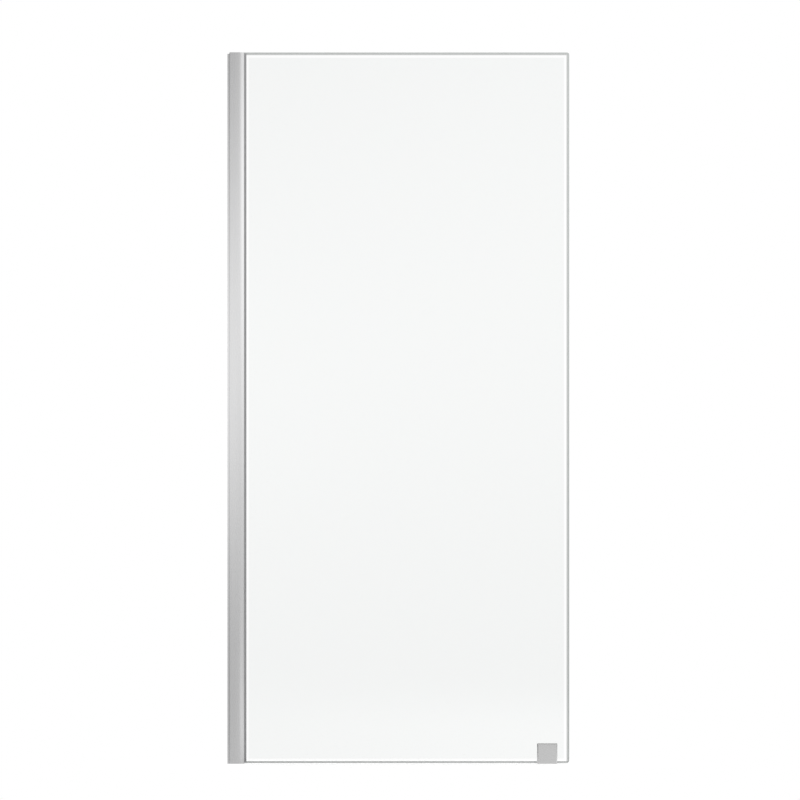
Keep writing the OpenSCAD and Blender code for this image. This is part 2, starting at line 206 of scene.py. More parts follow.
def drill(piece, radius, start, end):
    """Drills a round hole from one point to another."""
    start, end = Vector(start), Vector(end)
    way = end - start
    bpy.ops.object.select_all(action="DESELECT")
    bpy.ops.mesh.primitive_cylinder_add(vertices=hole_sides, radius=radius, depth=way.length,
                                        location=(start + end) / 2,
                                        rotation=way.to_track_quat("Z", "Y").to_euler())
    combine(piece, bpy.context.object, "DIFFERENCE")


def true_up(piece):
    """Merges doubles and points all faces outwards."""
    edit(piece)
    merge_doubles()
    bpy.ops.mesh.normals_make_consistent(inside=False)
    close_edit()


def shade(piece, angle=32):
    """Trues up a finished piece, and shades its curved faces smooth and its flat ones flat."""
    true_up(piece)
    bpy.ops.object.shade_smooth_by_angle(angle=math.radians(angle))
    apply_modifier(piece, "WEIGHTED_NORMAL", keep_sharp=True, weight=90)


def stands_for(piece, node, body, slot, *finishes):
    """Gives a finished piece its finishes and body, and puts it in the place of a CAD solid. The slot is not
    used.
    """
    piece.data.materials.clear()
    for finish in finishes:
        piece.data.materials.append(finish)
    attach(piece, body)
    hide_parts(node)


def start_material(name, **plain):
    """A Principled material with these plain values on its own sockets."""
    material = bpy.data.materials.new(name)
    material.use_nodes = True
    shader = material.node_tree.nodes["Principled BSDF"]
    for socket, value in plain.items():
        shader.inputs[socket.replace("_", " ")].default_value = value
    return material, material.node_tree, shader


def add_node(tree, kind, **inputs):
    """Adds a node and fills or links its inputs. They are named by their labels with _ for a space, or by _
    and a number."""
    node = tree.nodes.new(kind)
    for label, value in inputs.items():
        socket = int(label[1:]) if label[1:].isdigit() else label.replace("_", " ")
        target = node.inputs[socket]
        if isinstance(value, bpy.types.NodeSocket):
            tree.links.new(value, target)
        else:
            target.default_value = value
    return node


def start_group(name, outputs):
    """An effect that several finishes share: it takes a place on the piece and gives values there."""
    tree = bpy.data.node_groups.new(name, "ShaderNodeTree")
    tree.interface.new_socket("Place", in_out="INPUT", socket_type="NodeSocketVector")
    for output in outputs:
        tree.interface.new_socket(output, in_out="OUTPUT", socket_type="NodeSocketFloat")
    place = tree.nodes.new("NodeGroupInput").outputs["Place"]
    return tree, place, tree.nodes.new("NodeGroupOutput")


# Parallel lines that a die, a roller or a belt leaves along a surface, with slow changes of tone.
drawn_lines, lines_place, lines_out = start_group("drawn lines", ["Lines", "Drift"])
fine = add_node(drawn_lines, "ShaderNodeTexNoise", Vector=lines_place, Scale=2600, Detail=2, Roughness=0.6)
coarse = add_node(drawn_lines, "ShaderNodeTexNoise", Vector=lines_place, Scale=420, Detail=3, Roughness=0.5)
blend_lines = add_node(drawn_lines, "ShaderNodeMix", Factor=0.35, _2=fine.outputs["Fac"],
                       _3=coarse.outputs["Fac"])
drift = add_node(drawn_lines, "ShaderNodeTexNoise", Vector=lines_place, Scale=26, Detail=2)
drawn_lines.links.new(blend_lines.outputs[0], lines_out.inputs["Lines"])
drawn_lines.links.new(drift.outputs["Fac"], lines_out.inputs["Drift"])


def blend_tones(tree, factor, light, dark):
    """Mixes two tones, at sockets 6 and 7 of the node, by a value that varies over the surface."""
    tone = add_node(tree, "ShaderNodeMix")
    tone.data_type = "RGBA"
    tree.links.new(factor, tone.inputs[0])
    tone.inputs[6].default_value = light
    tone.inputs[7].default_value = dark
    return tone.outputs[2]


def lined_metal(name, stretch, light, dark, smooth, rough):
    """Metal with drawn lines: stretch is the scale of the lines along X, Y and Z."""
    material, tree, shader = start_material(name, Metallic=1)
    place = add_node(tree, "ShaderNodeTexCoord").outputs["Object"]
    along = add_node(tree, "ShaderNodeMapping", Vector=place, Scale=stretch)
    lines = add_node(tree, "ShaderNodeGroup")
    lines.node_tree = drawn_lines
    tree.links.new(along.outputs["Vector"], lines.inputs["Place"])
    tree.links.new(blend_tones(tree, lines.outputs["Drift"], light, dark), shader.inputs["Base Color"])
    sheen = add_node(tree, "ShaderNodeMapRange", Value=lines.outputs["Lines"], To_Min=smooth, To_Max=rough)
    tree.links.new(sheen.outputs["Result"], shader.inputs["Roughness"])
    relief = add_node(tree, "ShaderNodeBump", Strength=0.25, Distance=line_depth,
                      Height=lines.outputs["Lines"])
    tree.links.new(relief.outputs["Normal"], shader.inputs["Normal"])
    return material


channel_finish = lined_metal("channel_finish", lengthways, satin_light, satin_dark, satin_smooth,
                             satin_rough)

channel = draw_line("channel_extrusion", (0, 0), (0, channel_high.y - channel_lean),
                    (skin_edge, channel_high.y), (channel_high.x, channel_high.y),
                    (channel_high.x, channel_inner), (channel_web + channel_fillet, channel_inner),
                    (channel_web + channel_fillet, channel_inner - channel_fillet, 90), (channel_web, 0))
mirror_halves(channel)
extrude_section(channel, channel_low.z, channel_high.z, arris)
for hole_z in spread(4, wall_hole_margin, channel_high.z):
    drill(channel, wall_hole_r, (-mm, 0, hole_z), (channel_web + mm, 0, hole_z))
for hole_z in spread(4, lock_margin, channel_high.z):
    drill(channel, insert_r, (lock_x, channel_inner - mm, hole_z), (lock_x, channel_high.y + mm, hole_z))
shade(channel, 20)
stands_for(channel, "wall_channel", "wall_side", "satin_aluminium", channel_finish)


# Inserts, screws and washers of the width lock
# Turned stainless steel. The inserts are pressed flush into the channel. Each pan head screw runs through a
# slot of the glass profile and draws it against the channel with a washer.
all_ways = (1, 1, 1)
steel = lined_metal("turned_steel", all_ways, light=(0.66, 0.66, 0.66, 1), dark=(0.56, 0.56, 0.56, 1),
                    smooth=0.24, rough=0.36)
washer_low, washer_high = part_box("locking_washers")
screw_low, screw_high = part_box("locking_screws")
lock_r = 2 * mm
lock_pitch = 0.7 * mm
lock_tip_r = 1.6 * mm
lock_head_r = 3.8 * mm
lock_neck = 1 * mm
lock_plain = 1.5 * mm
pan_r = 1.1 * mm
cross_wide = 2 * lock_head_r / 3
cross_thick = lock_head_r / 4.5
washer_bore_r = lock_r + 0.1 * mm
washer_ease = 0.15 * mm
turn_steps = 64


def refinish(node, material):
    """Gives a CAD solid its finish."""
    shape = nodes[node].data
    shape.materials.clear()
    shape.materials.append(material)


def turned(name, corner_r, start, *legs):
    """A piece turned about an axis that points out of the back, drawn with its radius along X."""
    piece = draw_line(name, start, *legs)
    edit(piece)
    merge_doubles()
    if corner_r:
        ease_corners(piece, corner_r)
    bpy.ops.mesh.select_all(action="SELECT")
    bpy.ops.mesh.spin(steps=turn_steps, angle=math.radians(360), center=(0, 0, 0), axis=(0, 1, 0))
    close_edit()
    return piece


def thread_legs(radius, pitch, low, high):
    """Legs of a line that runs up a screw over its thread ridges."""
    depth = 0.55 * pitch
    count = int((high - low) / pitch)
    legs = []
    for i in range(count):
        legs += [(radius - depth, low + (i + 0.25) * pitch), (radius - depth, low + (i + 0.4) * pitch),
                 (radius, low + (i + 0.8) * pitch), (radius, low + (i + 0.9) * pitch)]
    return legs


def copied_to(piece, places):
    """The piece itself at the first place, and a copy with its own mesh at each further one."""
    copies = [piece]
    for i in range(1, len(places)):
        copy = piece.copy()
        copy.data = piece.data.copy()
        copy.name = f"{piece.name}_{i + 1}"
        bpy.context.scene.collection.objects.link(copy)
        copies.append(copy)
    for copy, place in zip(copies, places):
        edit(copy)
        bpy.ops.mesh.select_all(action="SELECT")
        bpy.ops.transform.translate(value=place)
        close_edit()
    return copies


lock_places = [(lock_x, 0, z) for z in spread(4, lock_margin, channel_high.z)]
washer_r = (washer_high.x - washer_low.x) / 2
washer = turned("washer", washer_ease, (washer_bore_r, washer_low.y), (washer_r, washer_low.y),
                (washer_r, washer_high.y), (washer_bore_r, washer_high.y), (washer_bore_r, washer_low.y))
shade(washer)
for piece in copied_to(washer, lock_places):
    stands_for(piece, "locking_washers", "wall_side", "steel", steel)

head_y = washer_high.y
lock_screw = turned("pan_head_screw", 0, (0, screw_low.y), (lock_tip_r, screw_low.y),
                    *thread_legs(lock_r, lock_pitch, screw_low.y, head_y - lock_plain),
                    (lock_r, head_y - lock_neck), (lock_r, head_y), (lock_head_r, head_y),
                    (lock_head_r, screw_high.y - pan_r), (lock_head_r - pan_r, screw_high.y - pan_r, 90),
                    (0, screw_high.y))
true_up(lock_screw)
for turn in (0, 90):
    bpy.ops.object.select_all(action="DESELECT")
    bpy.ops.mesh.primitive_cube_add(size=1, location=(0, screw_high.y, 0),
                                    rotation=(0, math.radians(turn), 0),
                                    scale=(lock_head_r, cross_wide, cross_thick))
    combine(lock_screw, bpy.context.object, "DIFFERENCE")
shade(lock_screw)
for piece in copied_to(lock_screw, lock_places):
    stands_for(piece, "locking_screws", "wall_side", "steel", steel)
refinish("locking_inserts", steel)


# Caps over the locking screws
# Small domed caps moulded in silver grey plastic, which snap over the screw heads.
cap_low, cap_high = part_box("locking_screw_caps")
cap_r = (cap_high.x - cap_low.x) / 2
cap_wall = 0.8 * mm
cap_ease = 0.2 * mm
dome_r = 18 * mm
dome_turn = math.degrees(math.asin(cap_r / dome_r))
dome_y = cap_high.y - dome_r

# Fine spark eroded texture of a mould, with faint flow marks.
moulded_skin, skin_place, skin_out = start_group("moulded skin", ["Pits", "Flow"])
pits = add_node(moulded_skin, "ShaderNodeTexNoise", Vector=skin_place, Scale=2200, Detail=2)
flow = add_node(moulded_skin, "ShaderNodeTexNoise", Vector=skin_place, Scale=90, Detail=3)
moulded_skin.links.new(pits.outputs["Fac"], skin_out.inputs["Pits"])
moulded_skin.links.new(flow.outputs["Fac"], skin_out.inputs["Flow"])


def moulded(name, light, dark, smooth, rough, depth):
    """Plastic or rubber with a moulded skin."""
    material, tree, shader = start_material(name)
    place = add_node(tree, "ShaderNodeTexCoord").outputs["Object"]
    skin = add_node(tree, "ShaderNodeGroup")
    skin.node_tree = moulded_skin
    tree.links.new(place, skin.inputs["Place"])
    tree.links.new(blend_tones(tree, skin.outputs["Flow"], light, dark), shader.inputs["Base Color"])
    sheen = add_node(tree, "ShaderNodeMapRange", Value=skin.outputs["Pits"], To_Min=smooth, To_Max=rough)
    tree.links.new(sheen.outputs["Result"], shader.inputs["Roughness"])
    relief = add_node(tree, "ShaderNodeBump", Strength=0.4, Distance=depth, Height=skin.outputs["Pits"])
    tree.links.new(relief.outputs["Normal"], shader.inputs["Normal"])
    return material


silver_plastic = moulded("silver_plastic", light=(0.64, 0.64, 0.65, 1), dark=(0.58, 0.58, 0.59, 1),
                         smooth=0.25, rough=0.4, depth=0.02 * mm)
cap = turned("screw_cap", cap_ease, (0, cap_high.y), (0, dome_y, -dome_turn), (cap_r, cap_low.y),
             (cap_r - cap_wall, cap_low.y), (cap_r - cap_wall, cap_high.y - cap_wall),
             (0, cap_high.y - cap_wall))
shade(cap)
for piece in copied_to(cap, lock_places):
    stands_for(piece, "locking_screw_caps", "wall_side", "cap_plastic", silver_plastic)


# Glass profile
# The extrusion that slides over the wall channel and holds the pane: two skins, a glass pocket between them
# and a screw port behind it. It is the same satin anodised aluminium, with slots milled in the rear skin.
profile_low, profile_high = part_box("glass_profile")
skin_wall = 2.5 * mm
skin_r = 2.2 * mm
shoulder_r = 200 * mm
shoulder_reach = 12 * mm
nose_r = 24 * mm
nose_reach = 13 * mm
nose_length = 7 * mm
pocket_half = 6.8 * mm
pocket_wall = 1.5 * mm
pocket_depth = 25 * mm
groove_depth = mm
groove_inset = 2.5 * mm
groove_width = 2 * mm
port_r = 3.1 * mm
port_bore_r = 1.6 * mm
port_slot_half = 0.6 * mm
slot_r = 2.3 * mm
slide_in = 4 * mm
slide_out = 16 * mm
half = profile_high.y
mouth_x = profile_high.x
nose_x = mouth_x - nose_reach
shoulder_x = nose_x - shoulder_reach
shoulder_y = half - shoulder_r
slope = math.asin(shoulder_reach / shoulder_r)
nose_centre_x = nose_x - nose_r * math.sin(slope)
nose_centre_y = shoulder_y + (shoulder_r - nose_r) * math.cos(slope)
nose_slope = math.asin((mouth_x - nose_centre_x) / nose_r)
mouth_y = nose_centre_y + nose_r * math.cos(nose_slope)
slot_end = mouth_x - nose_length
groove_front = mouth_x - groove_inset
groove_end = groove_front - groove_width
pocket_floor = mouth_x - pocket_depth
pocket_back = pocket_floor - pocket_wall
port_x = pocket_back - port_r + (port_r - port_bore_r) / 3
port_join = math.sqrt(port_r ** 2 - (pocket_back - port_x) ** 2)
bore_lip = port_x - math.sqrt(port_bore_r ** 2 - port_slot_half ** 2)
port_turn = 180 - math.degrees(math.asin(port_slot_half / port_r) + math.asin(port_join / port_r))
bore_turn = 180 - math.degrees(math.asin(port_slot_half / port_bore_r))
satin_aluminium = lined_metal("satin_aluminium_finish", lengthways, satin_light, satin_dark, satin_smooth,
                              satin_rough)

# From the mouth over the nose, the shoulder and the flat face to the rounded edge of the skin.
face_legs = [(nose_centre_x, nose_centre_y, math.degrees(nose_slope - slope)),
             (shoulder_x, shoulder_y, math.degrees(slope)),
             (profile_low.x + skin_r, half), (profile_low.x + skin_r, half - skin_r, 90)]
profile = draw_line("profile_extrusion",
                    (pocket_floor, 0), (pocket_floor, pocket_half),
                    (groove_end, pocket_half), (groove_end, pocket_half + groove_depth),
                    (groove_front, pocket_half + groove_depth), (groove_front, pocket_half),
                    (mouth_x, pocket_half), (mouth_x, mouth_y), *face_legs,
                    (profile_low.x, half - skin_wall), (slot_end, half - skin_wall),
                    (slot_end, pocket_half + pocket_wall), (pocket_back, pocket_half + pocket_wall),
                    (pocket_back, port_join), (port_x, 0, port_turn), (bore_lip, port_slot_half),
                    (port_x, 0, -bore_turn))
mirror_halves(profile)
extrude_section(profile, profile_low.z, profile_high.z, arris)
for slot_z in spread(4, lock_margin, channel_high.z):
    bpy.ops.object.select_all(action="DESELECT")
    bpy.ops.mesh.primitive_cylinder_add(vertices=hole_sides, radius=slot_r, depth=2 * skin_wall,
                                        location=(lock_x, half, slot_z), rotation=(math.radians(90), 0, 0))
    mill = bpy.context.object
    bpy.ops.object.transform_apply(location=True, rotation=True, scale=True)
    edit(mill)
    pick(mill, "VERT", lambda corner: corner.co.x < lock_x - 0.01 * mm)
    bpy.ops.transform.translate(value=(-slide_out, 0, 0))
    pick(mill, "VERT", lambda corner: corner.co.x > lock_x - 0.01 * mm)
    bpy.ops.transform.translate(value=(slide_in, 0, 0))
    close_edit()
    combine(profile, mill, "DIFFERENCE")
shade(profile)
stands_for(profile, "glass_profile", "glass_side", "satin_aluminium", satin_aluminium)


# Top cap and its screw
# A plate cut to the profile's outline and slotted for the pane, with a tongue that fills the pocket behind
# the glass. It is aluminium, and a countersunk screw holds it in the screw port.
plate_low, plate_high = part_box("profile_top_cap")
plate_top_r = 2 * mm
plate_spare = 20 * mm
plate_ease = 0.12 * mm
glass_half = 4 * mm
glass_edge_x = pocket_floor + 4 * mm
fit_gap = 0.3 * mm
cap_hole_r = 1.7 * mm
cap_head_r = 3.15 * mm
sink = cap_head_r - cap_hole_r
sink_spare = 0.2 * mm


def block(name, low, high):
    """A cube primitive at its size and place, with its transform applied."""
    bpy.ops.object.select_all(action="DESELECT")
    bpy.ops.mesh.primitive_cube_add(size=1, location=(Vector(low) + Vector(high)) / 2,
                                    scale=Vector(high) - Vector(low))
    bpy.ops.object.transform_apply(location=True, rotation=True, scale=True)
    bpy.context.object.name = name
    return bpy.context.object


def near(value, place):
    return abs(value - place) < 0.01 * mm


def bevel_edges(piece, test, radius, segments):
    """Rounds or bevels the edges for which a test of their two ends holds."""
    edit(piece)
    pick(piece, "EDGE", lambda edge: test(edge.verts[0].co, edge.verts[1].co))
    bpy.ops.mesh.bevel(offset=radius, segments=segments, affect="EDGES")
    close_edit()


def ease_edges(piece, angle, width):
    """Breaks the edges of a piece that turn by more than an angle."""
    apply_modifier(piece, "BEVEL", limit_method="ANGLE", angle_limit=math.radians(angle), width=width,
                   segments=2)


plate = draw_line("top_cap", (mouth_x, 0), (mouth_x, mouth_y), *face_legs, (profile_low.x, 0))
mirror_halves(plate)
extrude_section(plate, profile_high.z, plate_high.z, arris)
rounding = block("rounding", (profile_low.x, -plate_spare, profile_high.z - mm),
                 (3 * plate_spare, plate_spare, plate_high.z))
bevel_edges(rounding, lambda a, b: near(a.x, profile_low.x) and near(b.x, profile_low.x)
            and near(a.z, plate_high.z) and near(b.z, plate_high.z), plate_top_r, 8)
combine(plate, rounding, "INTERSECT")
tongue = block("tongue", (pocket_floor + fit_gap, -pocket_half + fit_gap, plate_low.z),
               (glass_edge_x - fit_gap, pocket_half - fit_gap, profile_high.z + mm))
combine(plate, tongue, "UNION")
slit = block("slit", (glass_edge_x - fit_gap, -glass_half - fit_gap, plate_low.z - mm),
             (mouth_x + mm, glass_half + fit_gap, plate_high.z + mm))
combine(plate, slit, "DIFFERENCE")
drill(plate, cap_hole_r, (port_x, 0, profile_high.z - mm), (port_x, 0, plate_high.z + mm))
bpy.ops.object.select_all(action="DESELECT")
bpy.ops.mesh.primitive_cone_add(vertices=hole_sides, radius1=cap_hole_r, radius2=cap_head_r + sink_spare,
                                depth=sink + sink_spare,
                                location=(port_x, 0, plate_high.z - sink + (sink + sink_spare) / 2))
combine(plate, bpy.context.object, "DIFFERENCE")
ease_edges(plate, 50, plate_ease)
shade(plate)
stands_for(plate, "profile_top_cap", "glass_side", "satin_aluminium", satin_aluminium)
refinish("top_cap_screw", steel)


# Gaskets
# Two lengths of grey extruded rubber, one on each side of the pane, which are pressed into grooves at the
# mouth of the profile.
gasket_low, gasket_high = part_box("rear_gasket")
barb_gap = 0.1 * mm
barb_front = groove_front - barb_gap
barb_end = groove_end + barb_gap
gasket_ease = 0.15 * mm
bead_width = gasket_high.x - mouth_x
bead_height = 3.6 * mm
bead_r = (bead_width ** 2 + bead_height ** 2) / (2 * bead_height)
bead_y = glass_half + bead_height - bead_r
bead_turn = math.degrees(math.asin(bead_width / bead_r))
gasket_rubber = moulded("extruded_rubber", light=(0.33, 0.33, 0.335, 1), dark=(0.29, 0.29, 0.295, 1),
                        smooth=0.5, rough=0.65, depth=0.03 * mm)
for side, node in ((1, "rear_gasket"), (-1, "front_gasket")):
    gasket = draw_line(f"{node}_strip", (gasket_low.x, glass_half), (gasket_low.x, pocket_half),
                       (barb_end, pocket_half), (barb_end, gasket_high.y), (barb_front, gasket_high.y),
                       (barb_front, pocket_half), (mouth_x, pocket_half),
                       (mouth_x, glass_half + bead_height), (mouth_x, bead_y, -bead_turn),
                       (gasket_low.x, glass_half))
    extrude_section(gasket, gasket_low.z, gasket_high.z, gasket_ease)
    if side < 0:
        edit(gasket)
        bpy.ops.mesh.select_all(action="SELECT")
        bpy.ops.transform.mirror(constraint_axis=(False, True, False), center_override=(0, 0, 0))
        close_edit()
    shade(gasket)
    stands_for(gasket, node, "glass_side", "gasket_rubber", gasket_rubber)


# Packers and setting blocks
# Small blocks of white nylon that keep the edge of the pane off the metal.
nylon = moulded("white_nylon", light=(0.85, 0.85, 0.83, 1), dark=(0.80, 0.80, 0.78, 1), smooth=0.35,
                rough=0.5, depth=0.02 * mm)
for node in ("edge_packers", "profile_setting_block", "clamp_spacers", "clamp_setting_pads"):
    refinish(node, nylon)


# Pane
# One pane of 8 mm clear toughened glass with round polished edges, and a notch for the clamp that is cut in
# its lower edge before toughening. The edge in the profile is only ground flat.
pane_low, pane_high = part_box("glass_pane")
corner_r = 6 * mm
pencil_r = 3.98 * mm
notch_half = 19 * mm
notch_top = 30 * mm
notch_r = 8 * mm
notch_spare = 10 * mm
round_steps = 12
clamp_low, clamp_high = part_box("clamp_front_jaw")
clamp_x = (clamp_low.x + clamp_high.x) / 2
glass_tint = (0.915, 0.925, 0.92, 1)
# Untinted white of a strip inside the edges, which is a painted highlight.
highlight_clear = (1, 1, 1, 1)
# Grey of a band next to the free edges, which is painted shade.
edge_shade_grey = (0.58, 0.59, 0.585, 1)
# Grey green of the round edges, which is painted shade.
edge_shade_light = (0.56, 0.58, 0.57, 1)
edge_shade_dark = (0.52, 0.54, 0.53, 1)
wave_depth = 0.05 * mm
edge_reach = 6.5 * mm
edge_end = 8 * mm
foot_reach = 5.2 * mm
highlight_start = 12 * mm
highlight_end = 16 * mm

pane = block("pane", pane_low, pane_high)
bevel_edges(pane, lambda a, b: near(a.x, pane_high.x) and near(a.z, b.z) and near(a.x, b.x), corner_r,
            round_steps)
bevel_edges(pane, lambda a, b: near(a.y, b.y) and not (near(a.x, pane_low.x) and near(b.x, pane_low.x)),
            pencil_r, round_steps)
notch = block("notch", (clamp_x - notch_half, -notch_spare, -notch_spare),
              (clamp_x + notch_half, notch_spare, notch_top))
bevel_edges(notch, lambda a, b: near(a.z, notch_top) and near(b.z, notch_top) and near(a.x, b.x), notch_r,
            round_steps)
combine(pane, notch, "DIFFERENCE")
shade(pane)

clear_glass, tree, shader = start_material("clear_glass_body", Roughness=0, IOR=1.52, Transmission_Weight=1)
place = add_node(tree, "ShaderNodeTexCoord").outputs["Object"]
axes = add_node(tree, "ShaderNodeSeparateXYZ", Vector=place)

# Distance from the nearest free edge, the foot or the gasket. Next to an edge comes a grey band of painted
# shade, then a clear strip of painted highlight, and then the tint of the glass.
from_right = add_node(tree, "ShaderNodeMath", _0=pane_high.x, _1=axes.outputs["X"])
from_top = add_node(tree, "ShaderNodeMath", _0=pane_high.z, _1=axes.outputs["Z"])
from_foot = add_node(tree, "ShaderNodeMath", _0=axes.outputs["Z"], _1=foot_reach - edge_reach)
from_bead = add_node(tree, "ShaderNodeMath", _0=axes.outputs["X"], _1=gasket_high.x - edge_end)
for distance in (from_right, from_top, from_foot, from_bead):
    distance.operation = "SUBTRACT"
nearest = from_right.outputs[0]
for distance in (from_top, from_foot, from_bead):
    lower = add_node(tree, "ShaderNodeMath", _0=nearest, _1=distance.outputs[0])
    lower.operation = "MINIMUM"
    nearest = lower.outputs[0]
# The untinted strip inside the grey band is a painted highlight.
highlight_strip = add_node(tree, "ShaderNodeMapRange", Value=nearest, From_Min=highlight_start, From_Max=highlight_end)
highlight_strip.interpolation_type = "SMOOTHSTEP"
inner = blend_tones(tree, highlight_strip.outputs["Result"], highlight_clear, glass_tint)
# The grey band next to each edge is painted shade.
shade_border = add_node(tree, "ShaderNodeMapRange", Value=nearest, From_Min=edge_reach, From_Max=edge_end)
tint_with_painted_light = blend_tones(tree, shade_border.outputs["Result"], edge_shade_grey, highlight_clear)
tree.links.new(inner, tint_with_painted_light.node.inputs[7])
tree.links.new(tint_with_painted_light, shader.inputs["Base Color"])

# Faint waves that the rollers of the toughening furnace leave across the pane.
rolled = add_node(tree, "ShaderNodeMapping", Vector=place, Scale=(0.15, 1, 1))
waves = add_node(tree, "ShaderNodeTexNoise", Vector=rolled.outputs["Vector"], Scale=4, Detail=1)
relief = add_node(tree, "ShaderNodeBump", Strength=0.02, Distance=wave_depth, Height=waves.outputs["Fac"])
tree.links.new(relief.outputs["Normal"], shader.inputs["Normal"])

# The edges: polished round on the free sides. Their opaque grey green is painted shade for the dark line
# that the round edge shows.
painted_shade_edge, tree, shader = start_material("polished_edge_painted_shade", IOR=1.52)
place = add_node(tree, "ShaderNodeTexCoord").outputs["Object"]
grinding = add_node(tree, "ShaderNodeGroup")
grinding.node_tree = drawn_lines
tree.links.new(place, grinding.inputs["Place"])
tree.links.new(blend_tones(tree, grinding.outputs["Drift"], edge_shade_light, edge_shade_dark),
               shader.inputs["Base Color"])
sheen = add_node(tree, "ShaderNodeMapRange", Value=grinding.outputs["Lines"], To_Min=0.15, To_Max=0.3)
tree.links.new(sheen.outputs["Result"], shader.inputs["Roughness"])
stands_for(pane, "glass_pane", "glass_side", "clear_glass", clear_glass, painted_shade_edge)
for side in pane.data.polygons:
    side.material_index = 0 if abs(side.normal.y) > 0.9999 else 1


# Floor clamp
# Two blocks of brushed stainless steel with bevelled edges. Two countersunk screws from the back draw them
# together through the notch, with the pads and the glass between them.
jaw_bevel = 3 * mm
jaw_ease = 0.25 * mm
jaw_face = 5.5 * mm
jaw_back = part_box("clamp_rear_jaw")[1].y
foot_cover = 2.7 * mm
foot_half = 17 * mm
foot_plate = 5 * mm
foot_front = jaw_back - foot_cover - fit_gap
floor_head_room = 4.5 * mm
floor_hole_r = 2.75 * mm
floor_hole_y = 8.5 * mm
hole_reach = 9 * mm
clamp_screw_r = 3 * mm
clamp_screw_z = 19 * mm
clamp_tip_r = 2.4 * mm
clamp_head_r = 6 * mm
clamp_head_flat = 0.15 * mm
clamp_pitch = 1 * mm
clamp_thread_end = 2 * mm - jaw_face
tapped_hole_r = clamp_screw_r + 0.05 * mm
plain_hole_r = clamp_screw_r + 0.1 * mm
seat_r = clamp_head_r + 0.1 * mm
hex_r = 2.1 * mm
hex_depth = 3 * mm
sideways_lines = (0.01, 1, 1)
brushed_steel = lined_metal("brushed_steel", sideways_lines, light=(0.5, 0.5, 0.5, 1),
                            dark=(0.46, 0.46, 0.46, 1), smooth=0.23, rough=0.33)
ground_bevel = lined_metal("ground_bevel", all_ways, light=(0.52, 0.52, 0.52, 1),
                           dark=(0.48, 0.48, 0.48, 1), smooth=0.14, rough=0.2)


def jaw(name, outer, inner):
    """A block whose outer edges are bevelled along its sides and its top, and eased all over."""
    piece = block(name, (clamp_low.x, min(outer, inner), clamp_low.z),
                  (clamp_high.x, max(outer, inner), clamp_high.z))
    bevel_edges(piece, lambda a, b: near(a.y, outer) and near(b.y, outer)
                and not (near(a.z, clamp_low.z) and near(b.z, clamp_low.z)), jaw_bevel, 1)
    ease_edges(piece, 30, jaw_ease)
    return piece


def finish_jaw(piece, node):
    """Brushed faces, and bevels that are ground finer."""
    shade(piece)
    stands_for(piece, node, "glass_side", "satin_steel", brushed_steel, ground_bevel)
    for side in piece.data.polygons:
        side.material_index = 0 if max(abs(part) for part in side.normal) > 0.95 else 1


screw_xs = (clamp_x - hole_reach, clamp_x + hole_reach)
front_jaw = jaw("front_jaw", -jaw_back, -jaw_face)
recess = block("recess", (clamp_x - foot_half - fit_gap, -foot_front - fit_gap, -mm),
               (clamp_x + foot_half + fit_gap, -fit_gap, foot_plate + floor_head_room))
combine(front_jaw, recess, "DIFFERENCE")
for x in screw_xs:
    drill(front_jaw, tapped_hole_r, (x, -jaw_face + mm, clamp_screw_z),
          (x, -jaw_back + foot_cover, clamp_screw_z))
finish_jaw(front_jaw, "clamp_front_jaw")

rear_jaw = jaw("rear_jaw", jaw_back, jaw_face)
foot = block("foot", (clamp_x - foot_half, -foot_front, 0),
             (clamp_x + foot_half, (jaw_face + jaw_back) / 2, foot_plate))
ease_edges(foot, 30, jaw_ease)
combine(rear_jaw, foot, "UNION")
for x in screw_xs:
    drill(rear_jaw, plain_hole_r, (x, jaw_face - mm, clamp_screw_z), (x, jaw_back + mm, clamp_screw_z))
    drill(rear_jaw, floor_hole_r, (x, -floor_hole_y, -mm), (x, -floor_hole_y, foot_plate + mm))
    seat = turned("seat", 0, (0, jaw_back - seat_r), (seat_r, jaw_back), (seat_r, jaw_back + mm),
                  (0, jaw_back + mm))
    true_up(seat)
    edit(seat)
    bpy.ops.mesh.select_all(action="SELECT")
    bpy.ops.transform.translate(value=(x, 0, clamp_screw_z))
    close_edit()
    combine(rear_jaw, seat, "DIFFERENCE")
finish_jaw(rear_jaw, "clamp_rear_jaw")

bolt_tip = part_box("clamp_screws")[0].y
bolt = turned("clamp_screw", 0, (0, bolt_tip), (clamp_tip_r, bolt_tip),
              *thread_legs(clamp_screw_r, clamp_pitch, bolt_tip, clamp_thread_end),
              (clamp_screw_r, clamp_thread_end), (clamp_screw_r, jaw_back - clamp_head_r + clamp_screw_r),
              (clamp_head_r - clamp_head_flat, jaw_back - clamp_head_flat),
              (clamp_head_r - 2 * clamp_head_flat, jaw_back), (0, jaw_back))
true_up(bolt)
bpy.ops.object.select_all(action="DESELECT")
bpy.ops.mesh.primitive_cylinder_add(vertices=6, radius=hex_r, depth=2 * hex_depth,
                                    location=(0, jaw_back, 0), rotation=(math.radians(90), 0, 0))
combine(bolt, bpy.context.object, "DIFFERENCE")
shade(bolt)
for piece in copied_to(bolt, [(x, 0, clamp_screw_z) for x in screw_xs]):
    stands_for(piece, "clamp_screws", "glass_side", "steel", steel)

pad_rubber = moulded("sheet_rubber", light=(0.25, 0.25, 0.25, 1), dark=(0.21, 0.21, 0.21, 1), smooth=0.6,
                     rough=0.75, depth=0.03 * mm)
for node in ("clamp_front_pad", "clamp_rear_pad"):
    refinish(node, pad_rubber)


